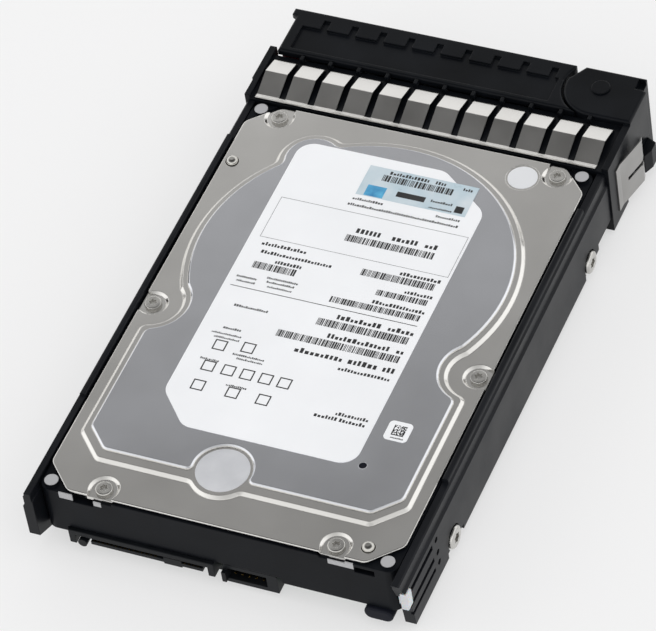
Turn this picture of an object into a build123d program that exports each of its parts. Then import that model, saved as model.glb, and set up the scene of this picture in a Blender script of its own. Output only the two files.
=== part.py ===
"""A 3.5 inch hard disk drive in its hot-swap carrier.

The row frame is in millimetres. The origin is on the drive's centreline, at its rear
(connector) edge and in the plane of its underside: +X is to the right when looking from the
connector towards the front handle, +Y runs to the handle and +Z is up, to the cover.
"""

import os
from math import cos, radians, sin

from build123d import *

os.makedirs("parts", exist_ok=True)

# ---------------------------------------------------------------- driving dimensions
HALF_W = 50.8  # half of the drive's 101.6 mm width
DRIVE_L = 147.0
CAST_TOP = 23.1  # machined rim of the casting
SHEET = 0.7  # cover sheet
FLANGE_Z = 24.3  # top of the cover's flat rim
TERRACE_Z = 25.3  # top of the cover's first step
PANEL_Z = 26.1  # top of the raised panel
FLOOR_Z = 8.0  # floor of the sealed chamber
BOARD_ROOF = 5.0  # roof of the circuit board's recess
FIT = 0.05  # radial running clearance

SPINDLE = (0, 95)
PLATTER_R = 47.5
PLATTER_T = 1.27
PITCH = 3.2  # platter to platter
STACK_Z = 10.4  # underside of the lowest platter
PLATTERS = 4
HUB_R = 12.45

PIVOT = (14, 42)  # actuator pivot
ARM_L = 43.0  # pivot to head
PARK = 164.6  # direction of the parked arm, degrees
COIL_Z = 15.8  # middle of the voice coil

HOLE_6_32 = 1.75  # major radius of the 6-32 mounting threads
BOTTOM_HOLES_Y = (41.28, 85.73)
BOTTOM_HOLES_X = 47.625
SIDE_HOLES_Y = (28.5, 70.1, 130.1)
SIDE_HOLES_Z = 6.35

RAIL_IN = HALF_W
RAIL_OUT = 53.9
RAIL_LOW = 2.6
RAIL_TOP = 24.9
RAIL_REAR = -4.0
BEZEL_Y = 147.2  # rear face of the bezel
FINGERS = 12
FINGER_W = 6.65
FINGER_PITCH = 8.62
FINGER_X0 = -51.0

HINGE = (42.0, 175.4)  # lever pin
LEVER_X0 = -51.4
LIP_X = -53.0  # outer edge of the lever's finger lip
LEVER_Y = (165.3, 182.3)
LEVER_Z = (3.6, 26.4)
TONGUE_TOP = 10.1
BLOCK_R = 10.4
BLOCK_Z = (10.4, 26.5)

COVER_SCREWS = [(x * side, y) for x, y in ((41.4, 142.4), (47.3, 68.0), (33.0, 3.8)) for side in (-1, 1)]
PINS = [(-47.5, 123.0), (41.3, 5.4)]
FOIL = (-4.8, 17.7)
ROUND_LABEL = (32.4, 139.3)
BOARD_SCREWS = [(-38, 14), (38, 10), (-38, 62), (38, 62), (-27, 94), (27, 94)]


def ray(angle, radius, centre=PIVOT):
    """The point at an angle (degrees) and a distance from a centre in plan."""
    return (centre[0] + radius * cos(radians(angle)), centre[1] + radius * sin(radians(angle)))


def block(x, y, z):
    """A box between two values of x, y and z, as an object of its own."""
    size = [hi - lo for lo, hi in (x, y, z)]
    middle = [(hi + lo) / 2 for lo, hi in (x, y, z)]
    return Pos(*middle) * Box(*size, mode=Mode.PRIVATE)


def pan_screw(head_r, head_h, shank_r, shank_l, socket_r):
    """A pan head screw with a six-lobe socket; the head's underside is at z = 0."""
    with BuildPart() as screw:
        with BuildSketch():
            Circle(head_r)
        extrude(amount=head_h)
        fillet(screw.faces().sort_by(Axis.Z)[-1].edges(), radius=head_h * 0.4)
        with BuildSketch(Plane.XY.offset(head_h)):
            Circle(socket_r * 0.8)
            with PolarLocations(socket_r * 0.8, 6):
                Circle(socket_r * 0.24)
        extrude(amount=-head_h * 0.6, mode=Mode.SUBTRACT)
        with BuildSketch():
            Circle(shank_r)
        extrude(amount=-shank_l)
    return screw.part


# ---------------------------------------------------------------- outlines in plan
def cover_outline(inset=0.0):
    """The cover's edge: a rectangle with its four corners cut off."""
    with BuildSketch() as edge:
        with Locations((0, DRIVE_L / 2)):
            Rectangle(2 * 50.4, 145.8)
        chamfer(edge.vertices(), length=8)
        fillet(edge.vertices(), radius=3)
        if inset:
            offset(edge.faces(), amount=-inset, mode=Mode.REPLACE)
    return edge.sketch


def panel_outline(inset, rear=11.8):
    """The embossed step: round the platters, waisted at the middle screws, straight behind."""
    waist, side, step = 72.0, 47.1, 8.0
    with BuildSketch() as panel:
        with Locations((0, (rear + inset + waist) / 2)):
            Rectangle(2 * (side - inset), waist - rear - inset)
        chamfer(panel.vertices().group_by(Axis.Y)[0], length=step - 0.6 * inset)
        with Locations(SPINDLE):
            Circle(46.8 - inset)
        with Locations((-25.5, 128.6)):
            Circle(10.3 - inset)
        with Locations(*[(x, y) for x, y in COVER_SCREWS if y == 68]):
            Circle(8.2 + inset, mode=Mode.SUBTRACT)
        fillet(panel.vertices(), radius=2.6)
    return panel.sketch


def first_step(inset):
    """The lower step's outline, which swells round the foil seal at the rear."""
    with BuildSketch() as shelf:
        add(panel_outline(inset))
        with Locations(FOIL):
            Circle(9.3 - inset)
        near_foil = [v for v in shelf.vertices() if abs(v.X - FOIL[0]) < 9 and v.Y < 14]
        fillet(near_foil, radius=2.0)
    return shelf.sketch


def raised_panel(inset):
    """The top of the emboss: inside the step, with a wider shelf behind and round the foil."""
    with BuildSketch() as top:
        add(panel_outline(2.3 + inset, rear=12.9))
        with Locations(FOIL):
            Circle(8.1 + inset, mode=Mode.SUBTRACT)
        near_foil = [v for v in top.vertices() if abs(v.X - FOIL[0]) < 12 and v.Y < 18]
        fillet(near_foil, radius=1.6)
    return top.sketch


def chamber_outline(grow=0.0):
    """The sealed chamber: the platters' well and the actuator's bay, round the screw bosses."""
    with BuildSketch() as chamber:
        with Locations((0, 44)):
            Rectangle(92, 64)
        fillet(chamber.vertices(), radius=6)
        with Locations(SPINDLE):
            Circle(48.5)
        with Locations(*[(x, y) for x, y in COVER_SCREWS if y == 68]):
            Circle(6.4, mode=Mode.SUBTRACT)
        if grow:
            offset(chamber.faces(), amount=grow, mode=Mode.REPLACE)
    return chamber.sketch


# ---------------------------------------------------------------- base casting
BOARD_X = 44.2  # half width of the recess under the casting
REAR_WALL_Z = 7.6  # lower edge of the rear wall
REAR_CUT_Y = 8.0
with BuildPart() as base_casting:
    with BuildSketch():
        with Locations((0, DRIVE_L / 2)):
            RectangleRounded(2 * HALF_W, DRIVE_L, 3.0)
    extrude(amount=CAST_TOP)
    # raised machined pads at the corners, outside the cover
    with BuildSketch(Plane.XY.offset(CAST_TOP)):
        with Locations((0, DRIVE_L / 2)):
            with GridLocations(95.6, 141.6, 2, 2):
                Circle(1.9)
    extrude(amount=1.0)
    # sealed chamber
    with BuildSketch(Plane.XY.offset(FLOOR_Z)):
        add(chamber_outline())
    extrude(amount=CAST_TOP - FLOOR_Z, mode=Mode.SUBTRACT)
    # recess for the circuit board, open at the rear under the connectors
    with BuildSketch():
        with Locations((0, 50.5)):
            Rectangle(2 * BOARD_X, 101)
    extrude(amount=BOARD_ROOF, mode=Mode.SUBTRACT)
    add(block((-BOARD_X, 40.4), (-1, 1.6), (-1, 7.6)), mode=Mode.SUBTRACT)
    add(block((-BOARD_X, 17.2), (-1, 8.4), (-1, 9.6)), mode=Mode.SUBTRACT)
    # the rear wall ends above the connectors over the full width
    add(block((-HALF_W - 1, HALF_W + 1), (-1, REAR_CUT_Y), (-1, REAR_WALL_Z)), mode=Mode.SUBTRACT)
    # shallow ribbed recess under the front of the platters' well
    with BuildSketch():
        with Locations((0, 104.0 + 19.5)):
            RectangleRounded(2 * BOARD_X, 39, 5)
    extrude(amount=2.2, mode=Mode.SUBTRACT)
    for angle in range(30, 151, 24):
        foot = ray(angle, 17, SPINDLE)
        tip = ray(angle, 40, SPINDLE)
        with BuildSketch(Plane.XY.offset(0.6)):
            with BuildLine() as rib:
                Line(foot, tip)
            trace(line_width=1.6)
        extrude(amount=2.0)
    # seat of the spindle motor
    with BuildSketch(Plane.XY.offset(0.9)):
        with Locations(SPINDLE):
            Circle(16.5)
    extrude(amount=BOARD_ROOF - 0.9 + 0.2)
    with BuildSketch():
        with Locations(SPINDLE):
            Circle(13.0)
    extrude(amount=FLOOR_Z, mode=Mode.SUBTRACT)
    # bottom and side mounting holes
    with Locations((0, sum(BOTTOM_HOLES_Y) / 2, 2.5)):
        with GridLocations(2 * BOTTOM_HOLES_X, BOTTOM_HOLES_Y[1] - BOTTOM_HOLES_Y[0], 2, 2):
            Cylinder(HOLE_6_32, 5.0, mode=Mode.SUBTRACT)
    for side in (-1, 1):
        for y in SIDE_HOLES_Y:
            with Locations(Location((side * (HALF_W - 2.75), y, SIDE_HOLES_Z), (0, 90, 0))):
                Cylinder(HOLE_6_32, 5.5, mode=Mode.SUBTRACT)
    # seats under the cover's dimples, and the tapped holes
    with Locations(*[(x, y, CAST_TOP) for x, y in COVER_SCREWS]):
        Cylinder(5.2, 1.2, mode=Mode.SUBTRACT)
        Cylinder(1.25, 17.0, mode=Mode.SUBTRACT)
    with Locations(*[(x, y, CAST_TOP) for x, y in PINS]):
        Cylinder(1.5, 12.0, mode=Mode.SUBTRACT)
    with Locations(*[(x, y, BOARD_ROOF) for x, y in BOARD_SCREWS]):
        Cylinder(1.15, 4.0, mode=Mode.SUBTRACT)
    # notches in the rear wall, and the seat of the rubber bumper
    add(block((-40.9, -35.0), (-1, 2.4), (20.3, CAST_TOP + 1)), mode=Mode.SUBTRACT)
    add(block((39.1, 44.8), (-1, 2.4), (19.9, 22.0)), mode=Mode.SUBTRACT)
    with BuildSketch(Plane.XZ.offset(2)):
        with Locations((44.4, 5.5)):
            SlotOverall(8.2, 4.3)
    extrude(amount=-11.5, mode=Mode.SUBTRACT)
base_casting.part.label = "base_casting"
export_step(base_casting.part, "parts/base_casting.step")

# ---------------------------------------------------------------- cover, its gasket and fixings
with BuildPart() as top_cover:
    with BuildSketch(Plane.XY.offset(FLANGE_Z - SHEET)):
        add(cover_outline())
    extrude(amount=SHEET)
    fillet(top_cover.faces().sort_by(Axis.Z)[-1].edges(), radius=0.3)
    # dimples round the screws, formed down to the casting
    with BuildSketch(Plane.XY.offset(CAST_TOP - 0.6)):
        with Locations(*COVER_SCREWS):
            Circle(4.9)
        add(cover_outline(), mode=Mode.INTERSECT)
    extrude(amount=FLANGE_Z - CAST_TOP)
    # first step of the emboss, then the raised panel
    with BuildSketch(Plane.XY.offset(FLANGE_Z - SHEET)):
        add(first_step(0))
    extrude(amount=TERRACE_Z - FLANGE_Z + SHEET)
    chamfer(top_cover.faces().sort_by(Axis.Z)[-1].edges(), length=0.85)
    with BuildSketch(Plane.XY.offset(TERRACE_Z - SHEET)):
        add(raised_panel(0))
    extrude(amount=PANEL_Z - TERRACE_Z + SHEET)
    chamfer(top_cover.faces().sort_by(Axis.Z)[-1].edges(), length=0.5)
    # the same steps from below leave a sheet of even thickness
    with BuildSketch(Plane.XY.offset(FLANGE_Z - SHEET)):
        add(first_step(1.4))
    extrude(amount=TERRACE_Z - FLANGE_Z, mode=Mode.SUBTRACT)
    with BuildSketch(Plane.XY.offset(TERRACE_Z - SHEET)):
        add(raised_panel(1.0))
    extrude(amount=PANEL_Z - TERRACE_Z, mode=Mode.SUBTRACT)
    # hollows of the dimples: a cone down to a flat floor that takes the screw's head
    with Locations(*[(x, y, FLANGE_Z - 0.4) for x, y in COVER_SCREWS]):
        Cone(3.5, 4.3, 0.8, mode=Mode.SUBTRACT)
        Cylinder(1.6, 6.0, mode=Mode.SUBTRACT)
    # rear and front dimples run out over the edge
    for x, y in COVER_SCREWS:
        if y != 68:
            out = 3.0 if y > 68 else -3.0
            with Locations((x, y + out, FLANGE_Z + 0.5)):
                Box(7.0, 6.0, 2.6, mode=Mode.SUBTRACT)
        else:
            with Locations((x + 3.0 * (1 if x > 0 else -1), y, FLANGE_Z + 0.5)):
                Box(6.0, 7.0, 2.6, mode=Mode.SUBTRACT)
    with Locations(*[(x, y, FLANGE_Z) for x, y in PINS]):
        Cylinder(1.9, 4.0, mode=Mode.SUBTRACT)
    with Locations((30.2, 29.3, PANEL_Z)):
        Cylinder(1.1, 0.7, mode=Mode.SUBTRACT)
    with Locations((*ROUND_LABEL, FLANGE_Z)):
        Cylinder(4.75, 0.3, mode=Mode.SUBTRACT)
top_cover.part.label = "top_cover"
export_step(top_cover.part, "parts/top_cover.step")

with BuildPart() as cover_gasket:
    with BuildSketch(Plane.XY.offset(CAST_TOP)):
        add(cover_outline(0.4))
        add(chamber_outline(0.3), mode=Mode.SUBTRACT)
        with Locations(*COVER_SCREWS):
            Circle(5.3, mode=Mode.SUBTRACT)
        with Locations(*PINS):
            Circle(2.4, mode=Mode.SUBTRACT)
    extrude(amount=FLANGE_Z - SHEET - CAST_TOP)
cover_gasket.part.label = "cover_gasket"
export_step(cover_gasket.part, "parts/cover_gasket.step")

cover_screw = pan_screw(2.4, 1.0, 1.2, 6.0, 1.15)
with BuildPart() as cover_screws:
    with Locations(*[(x, y, FLANGE_Z - 0.8) for x, y in COVER_SCREWS]):
        add(cover_screw)
cover_screws.part.label = "cover_screws"
export_step(cover_screws.part, "parts/cover_screws.step")

with BuildPart() as locating_pins:
    with BuildSketch(Plane.XY.offset(CAST_TOP - 6)):
        with Locations(*PINS):
            Circle(1.45)
    extrude(amount=6)
    with BuildSketch(Plane.XY.offset(CAST_TOP)):
        with Locations(*PINS):
            Circle(1.7)
    extrude(amount=2.4)
    fillet(locating_pins.faces().filter_by(Plane.XY).group_by(Axis.Z)[-1].edges(), radius=1.1)
locating_pins.part.label = "locating_pins"
export_step(locating_pins.part, "parts/locating_pins.step")

# ---------------------------------------------------------------- labels and seals on the cover
LABEL_T = 0.1
with BuildPart() as cover_label:
    with BuildSketch(Plane.XY.offset(PANEL_Z)) as label_face:
        Polygon(
            (-30.7, 134), (12, 134), (27.9, 122.3), (27.9, 28.3), (-21, 28.3), (-30.7, 38.6), align=None,
        )
        fillet(label_face.vertices(), radius=5)
    extrude(amount=LABEL_T)
cover_label.part.label = "cover_label"
export_step(cover_label.part, "parts/cover_label.step")

with BuildPart() as overlay_sticker:
    with BuildSketch(Plane.XY.offset(PANEL_Z + LABEL_T)):
        with Locations((7.35, 124.9)):
            Rectangle(32.1, 11.2)
    extrude(amount=LABEL_T)
overlay_sticker.part.label = "overlay_sticker"
export_step(overlay_sticker.part, "parts/overlay_sticker.step")

with BuildPart() as code_sticker:
    with BuildSketch(Plane.XY.offset(PANEL_Z)):
        with Locations((34.8, 42.7)):
            RectangleRounded(6.6, 6.6, 1.2)
    extrude(amount=LABEL_T)
code_sticker.part.label = "code_sticker"
export_step(code_sticker.part, "parts/code_sticker.step")

with BuildPart() as foil_seal:
    with BuildSketch(Plane.XY.offset(TERRACE_Z)):
        with Locations(FOIL):
            Circle(7.3)
    extrude(amount=LABEL_T)
foil_seal.part.label = "foil_seal"
export_step(foil_seal.part, "parts/foil_seal.step")

with BuildPart() as round_sticker:
    with BuildSketch(Plane.XY.offset(FLANGE_Z - 0.15)):
        with Locations(ROUND_LABEL):
            Circle(4.15)
    extrude(amount=LABEL_T)
round_sticker.part.label = "round_sticker"
export_step(round_sticker.part, "parts/round_sticker.step")

# ---------------------------------------------------------------- spindle motor and platters
STACK_TOP = STACK_Z + PITCH * (PLATTERS - 1) + PLATTER_T
with BuildPart() as motor_base:
    with BuildSketch(Plane.XY.offset(1.2)):
        with Locations(SPINDLE):
            Circle(13.0)
    extrude(amount=FLOOR_Z - 1.2)
    with BuildSketch(Plane.XY.offset(FLOOR_Z)):
        with Locations(SPINDLE):
            Circle(6.9)
            Circle(6.3, mode=Mode.SUBTRACT)
    extrude(amount=8.0)
    with BuildSketch(Plane.XY.offset(1.2)):
        with Locations(SPINDLE):
            Circle(9.5)
            Circle(6.0, mode=Mode.SUBTRACT)
    extrude(amount=0.8, mode=Mode.SUBTRACT)
    with Locations((*SPINDLE, FLOOR_Z)):
        Cylinder(2.0, 20, mode=Mode.SUBTRACT)
motor_base.part.label = "motor_base"
export_step(motor_base.part, "parts/motor_base.step")

with BuildPart() as motor_shaft:
    with BuildSketch(Plane.XY.offset(1.6)):
        with Locations(SPINDLE):
            Circle(2.0)
    extrude(amount=21.0)
    chamfer(motor_shaft.edges().group_by(Axis.Z)[-1], length=0.3)
motor_shaft.part.label = "motor_shaft"
export_step(motor_shaft.part, "parts/motor_shaft.step")

TEETH = 9
with BuildPart() as motor_stator:
    with BuildSketch(Plane.XY.offset(11.0)):
        with Locations(SPINDLE):
            Circle(7.7)
            with PolarLocations(8.4, TEETH):
                Rectangle(1.8, 1.2)
            with PolarLocations(9.25, TEETH):
                Rectangle(0.5, 3.4)
            Circle(6.9, mode=Mode.SUBTRACT)
    extrude(amount=4.0)
motor_stator.part.label = "motor_stator"
export_step(motor_stator.part, "parts/motor_stator.step")

with BuildPart() as stator_coils:
    with Locations((*SPINDLE, 13.0)):
        with PolarLocations(8.4, TEETH):
            Box(1.2, 2.4, 5.2)
            Box(1.2, 1.2, 4.0, mode=Mode.SUBTRACT)
stator_coils.part.label = "stator_coils"
export_step(stator_coils.part, "parts/stator_coils.step")

with BuildPart() as bearing_sleeve:
    with BuildSketch(Plane.XY.offset(9.6)):
        with Locations(SPINDLE):
            Circle(4.4)
            Circle(2.0 + FIT, mode=Mode.SUBTRACT)
    extrude(amount=11.0)
bearing_sleeve.part.label = "bearing_sleeve"
export_step(bearing_sleeve.part, "parts/bearing_sleeve.step")

with BuildPart() as motor_hub:
    with BuildSketch(Plane.XZ.offset(-SPINDLE[1])):
        Polygon(
            (4.4, 9.6), (5.9, 9.6), (5.9, 18.6), (10.9, 18.6), (10.9, 8.7), (15.8, 8.7), (15.8, STACK_Z),
            (HUB_R, STACK_Z), (HUB_R, STACK_TOP), (4.4, STACK_TOP), align=None,
        )
    revolve(axis=Axis((*SPINDLE, 0), (0, 0, 1)))
    with Locations((*SPINDLE, STACK_TOP)):
        with PolarLocations(8.6, 6):
            Cylinder(0.9, 4.0, mode=Mode.SUBTRACT)
motor_hub.part.label = "motor_hub"
export_step(motor_hub.part, "parts/motor_hub.step")

with BuildPart() as rotor_magnet:
    with BuildSketch(Plane.XY.offset(10.4)):
        with Locations(SPINDLE):
            Circle(10.9)
            Circle(9.8, mode=Mode.SUBTRACT)
    extrude(amount=5.2)
rotor_magnet.part.label = "rotor_magnet"
export_step(rotor_magnet.part, "parts/rotor_magnet.step")

with BuildPart() as platters:
    for number in range(PLATTERS):
        with BuildSketch(Plane.XY.offset(STACK_Z + number * PITCH)):
            with Locations(SPINDLE):
                Circle(PLATTER_R)
                Circle(HUB_R + FIT, mode=Mode.SUBTRACT)
        extrude(amount=PLATTER_T)
platters.part.label = "platters"
export_step(platters.part, "parts/platters.step")

with BuildPart() as disk_spacers:
    for number in range(PLATTERS - 1):
        with BuildSketch(Plane.XY.offset(STACK_Z + number * PITCH + PLATTER_T)):
            with Locations(SPINDLE):
                Circle(15.8)
                Circle(HUB_R, mode=Mode.SUBTRACT)
        extrude(amount=PITCH - PLATTER_T)
disk_spacers.part.label = "disk_spacers"
export_step(disk_spacers.part, "parts/disk_spacers.step")

with BuildPart() as disk_clamp:
    with BuildSketch(Plane.XY.offset(STACK_TOP)):
        with Locations(SPINDLE):
            Circle(15.5)
            Circle(4.0, mode=Mode.SUBTRACT)
            with PolarLocations(8.6, 6):
                Circle(1.0, mode=Mode.SUBTRACT)
            with PolarLocations(12.6, 12, start_angle=15):
                Circle(0.8, mode=Mode.SUBTRACT)
    extrude(amount=1.3)
disk_clamp.part.label = "disk_clamp"
export_step(disk_clamp.part, "parts/disk_clamp.step")

clamp_screw = pan_screw(1.7, 0.9, 0.85, 3.0, 0.8)
with BuildPart() as clamp_screws:
    with Locations((*SPINDLE, STACK_TOP + 1.3)):
        with PolarLocations(8.6, 6):
            add(clamp_screw)
clamp_screws.part.label = "clamp_screws"
export_step(clamp_screws.part, "parts/clamp_screws.step")

# ---------------------------------------------------------------- head actuator
GAP = PITCH - PLATTER_T
GAP_MIDS = [STACK_Z - GAP / 2] + [STACK_Z + PLATTER_T + GAP / 2 + n * PITCH for n in range(PLATTERS)]
ARM_T = 0.9
BEARING_R = 5.2
STACK_BODY = (GAP_MIDS[0] - ARM_T / 2, GAP_MIDS[-1] + ARM_T / 2)
ARM_PLANE = Plane((*PIVOT, 0), x_dir=(cos(radians(PARK)), sin(radians(PARK)), 0), z_dir=(0, 0, 1))

with BuildPart() as pivot_post:
    with BuildSketch(Plane.XY.offset(FLOOR_Z)):
        with Locations(PIVOT):
            Circle(5.0)
    extrude(amount=0.6)
    with BuildSketch(Plane.XY.offset(FLOOR_Z)):
        with Locations(PIVOT):
            Circle(2.5)
    extrude(amount=15.6)
pivot_post.part.label = "pivot_post"
export_step(pivot_post.part, "parts/pivot_post.step")

with BuildPart() as pivot_bearing:
    with BuildSketch(Plane.XY.offset(STACK_BODY[0])):
        with Locations(PIVOT):
            Circle(BEARING_R)
            Circle(2.5 + FIT, mode=Mode.SUBTRACT)
    extrude(amount=STACK_BODY[1] - STACK_BODY[0])
pivot_bearing.part.label = "pivot_bearing"
export_step(pivot_bearing.part, "parts/pivot_bearing.step")

COIL_IN = 14.0
COIL_OUT = 27.0
with BuildPart() as actuator_arm:
    with BuildSketch(ARM_PLANE.offset(STACK_BODY[0])):
        Circle(6.9)
        Circle(BEARING_R, mode=Mode.SUBTRACT)
    extrude(amount=STACK_BODY[1] - STACK_BODY[0])
    for middle in GAP_MIDS:
        with BuildSketch(ARM_PLANE.offset(middle - ARM_T / 2)):
            Polygon((0, -8.2), (12, -6), (31.5, -2.2), (33, 0), (31.5, 2.2), (12, 6), (0, 8.2), align=None)
            Circle(BEARING_R, mode=Mode.SUBTRACT)
            with Locations((16, 0)):
                SlotCenterToCenter(8, 3.4, mode=Mode.SUBTRACT)
        extrude(amount=ARM_T)
    # fork that carries the coil
    with BuildSketch(ARM_PLANE.offset(COIL_Z - 1.5)):
        Polygon((0, -8), (-14, -6.3), (-26, -11.8), (-26, 11.8), (-14, 6.3), (0, 8), align=None)
        Polygon((-14, -4.7), (-27, -9.2), (-27, 9.2), (-14, 4.7), align=None, mode=Mode.SUBTRACT)
        Circle(BEARING_R, mode=Mode.SUBTRACT)
    extrude(amount=3.0)
actuator_arm.part.label = "actuator_arm"
export_step(actuator_arm.part, "parts/actuator_arm.step")

with BuildPart() as voice_coil:
    with BuildSketch(ARM_PLANE.offset(COIL_Z - 1.2)) as winding:
        Polygon((-COIL_IN, -4.6), (-COIL_OUT, -9.1), (-COIL_OUT, 9.1), (-COIL_IN, 4.6), align=None)
        offset(winding.faces(), amount=-2.6, kind=Kind.INTERSECTION, mode=Mode.SUBTRACT)
    extrude(amount=2.4)
voice_coil.part.label = "voice_coil"
export_step(voice_coil.part, "parts/voice_coil.step")

HEAD_SIDES = [(0, 1)] + [(n, s) for n in range(1, PLATTERS) for s in (-1, 1)] + [(PLATTERS, -1)]
with BuildPart() as suspensions:
    for gap, side in HEAD_SIDES:
        sheet_z = GAP_MIDS[gap] + side * (ARM_T / 2 + 0.05)
        with BuildSketch(ARM_PLANE.offset(sheet_z - 0.05)):
            Polygon((27.5, -2.4), (31.5, -2.0), (44, -0.6), (44, 0.6), (31.5, 2.0), (27.5, 2.4), align=None)
            with Locations((29.6, 0)):
                Circle(0.7, mode=Mode.SUBTRACT)
        extrude(amount=0.1)
suspensions.part.label = "suspensions"
export_step(suspensions.part, "parts/suspensions.step")

with BuildPart() as head_sliders:
    for gap, side in HEAD_SIDES:
        slider_z = GAP_MIDS[gap] + side * (ARM_T / 2 + 0.1 + 0.16)
        with Locations(Plane((*ray(PARK, ARM_L), slider_z), x_dir=ARM_PLANE.x_dir, z_dir=(0, 0, 1))):
            Box(1.2, 1.0, 0.32)
head_sliders.part.label = "head_sliders"
export_step(head_sliders.part, "parts/head_sliders.step")

# magnet yoke: a lower and an upper plate with their magnets and the two stops between them
YOKE = (-83.0, 12.0)


def sector(inner, outer, first, last):
    """A ring sector about the actuator's pivot, between two radii and two angles."""
    with BuildSketch() as shape:
        with Locations(PIVOT):
            Circle(outer)
            Circle(inner, mode=Mode.SUBTRACT)
        far = outer * 3
        middle = (first + last) / 2
        corners = [ray(first, far), ray(middle, far), ray(last, far)]
        Polygon(PIVOT, *corners, align=None, mode=Mode.INTERSECT)
    return shape.sketch


with BuildPart() as lower_magnet_plate:
    with BuildSketch(Plane.XY.offset(FLOOR_Z)):
        add(sector(10.6, 29.0, *YOKE))
    extrude(amount=2.8)
lower_magnet_plate.part.label = "lower_magnet_plate"
export_step(lower_magnet_plate.part, "parts/lower_magnet_plate.step")

with BuildPart() as upper_magnet_plate:
    with BuildSketch(Plane.XY.offset(20.4)):
        add(sector(10.6, 29.0, *YOKE))
    extrude(amount=2.6)
upper_magnet_plate.part.label = "upper_magnet_plate"
export_step(upper_magnet_plate.part, "parts/upper_magnet_plate.step")

with BuildPart() as coil_magnets:
    for low, high in ((10.8, 13.6), (18.0, 20.4)):
        with BuildSketch(Plane.XY.offset(low)):
            add(sector(13.0, 26.5, -74, 2))
        extrude(amount=high - low)
coil_magnets.part.label = "coil_magnets"
export_step(coil_magnets.part, "parts/coil_magnets.step")

with BuildPart() as crash_stops:
    with BuildSketch(Plane.XY.offset(10.8)):
        with Locations(ray(-83.4, 27.4), ray(11.0, 27.4)):
            Circle(0.9)
    extrude(amount=9.6)
crash_stops.part.label = "crash_stops"
export_step(crash_stops.part, "parts/crash_stops.step")

# parking ramp: a comb beside the platters' edge, just beyond the parked heads
with BuildPart() as parking_ramp:
    with BuildSketch(ARM_PLANE.offset(FLOOR_Z)):
        with Locations((46.9, 2.2)):
            Rectangle(4.4, 9.0)
        with Locations((50.0, 3.5)):
            Circle(3.0)
    extrude(amount=14.6)
    for middle in GAP_MIDS:
        with Locations(Plane((*ray(PARK, 45.2), middle), x_dir=ARM_PLANE.x_dir, z_dir=(0, 0, 1))):
            Box(2.4, 14.0, 0.8, mode=Mode.SUBTRACT)
parking_ramp.part.label = "parking_ramp"
export_step(parking_ramp.part, "parts/parking_ramp.step")

# small inertial latch beside the fork, on its own pin
LATCH = (40.0, 56.0)
with BuildPart() as latch_pin:
    with BuildSketch(Plane.XY.offset(FLOOR_Z)):
        with Locations(LATCH):
            Circle(2.2)
    extrude(amount=5.8)
    with BuildSketch(Plane.XY.offset(FLOOR_Z)):
        with Locations(LATCH):
            Circle(0.8)
    extrude(amount=10.4)
latch_pin.part.label = "latch_pin"
export_step(latch_pin.part, "parts/latch_pin.step")

with BuildPart() as actuator_latch:
    with BuildSketch(Plane.XY.offset(14.1)):
        with Locations(LATCH):
            Circle(2.2)
        Polygon((38.2, 55.0), (34.2, 49.6), (35.4, 48.6), (41.2, 54.2), align=None)
        Polygon((41.0, 58.0), (43.6, 59.8), (44.0, 58.0), (41.4, 54.8), align=None)
        with Locations(LATCH):
            Circle(0.8 + FIT, mode=Mode.SUBTRACT)
    extrude(amount=3.4)
actuator_latch.part.label = "actuator_latch"
export_step(actuator_latch.part, "parts/actuator_latch.step")

# flexible circuit from the arm's side to its bracket
with BuildPart() as flex_cable:
    with BuildSketch(Plane.XY.offset(11.5)):
        with BuildLine() as strip:
            first = ray(232, 8.8)
            ThreePointArc(first, (1.5, 36.5), (-5.0, 26.9))
        trace(line_width=0.16)
    extrude(amount=7.0)
flex_cable.part.label = "flex_cable"
export_step(flex_cable.part, "parts/flex_cable.step")

with BuildPart() as flex_bracket:
    add(block((-14.0, 4.0), (16.5, 26.7), (FLOOR_Z, 11.2)))
    add(block((-14.0, -3.0), (24.9, 26.7), (11.2, 18.8)))
    with Locations((-9.5, 20.5, 11.2), (0.5, 20.5, 11.2)):
        Cylinder(1.2, 1.6)
flex_bracket.part.label = "flex_bracket"
export_step(flex_bracket.part, "parts/flex_bracket.step")

with BuildPart() as air_filter:
    with BuildSketch(Plane((-41.2, 43.0, FLOOR_Z), x_dir=(0.5, 0.87, 0), z_dir=(0, 0, 1))):
        RectangleRounded(8.4, 3.0, 0.8)
    extrude(amount=13.0)
air_filter.part.label = "air_filter"
export_step(air_filter.part, "parts/air_filter.step")

with BuildPart() as desiccant_pack:
    with BuildSketch(Plane.XY.offset(FLOOR_Z)):
        with Locations((-32.0, 24.0)):
            RectangleRounded(20, 14, 2.5)
    extrude(amount=7.0)
    fillet(desiccant_pack.faces().sort_by(Axis.Z)[-1].edges(), radius=1.2)
desiccant_pack.part.label = "desiccant_pack"
export_step(desiccant_pack.part, "parts/desiccant_pack.step")

# ---------------------------------------------------------------- circuit board and connectors
BOARD_Z = (1.2, 2.2)


def board_outline(inset=0.0):
    """The board's outline: square behind, scooped round the spindle motor in front."""
    with BuildSketch() as board:
        with Locations((0, 52.2)):
            Rectangle(2 * (43.6 - inset), 93.6 - 2 * inset)
        fillet(board.vertices(), radius=2)
        with Locations(SPINDLE):
            Circle(17.2 + inset, mode=Mode.SUBTRACT)
    return board.sketch


with BuildPart() as circuit_board:
    with BuildSketch(Plane.XY.offset(BOARD_Z[0])):
        add(board_outline())
        with Locations(*BOARD_SCREWS):
            Circle(1.3, mode=Mode.SUBTRACT)
    extrude(amount=BOARD_Z[1] - BOARD_Z[0])
circuit_board.part.label = "circuit_board"
export_step(circuit_board.part, "parts/circuit_board.step")

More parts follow.
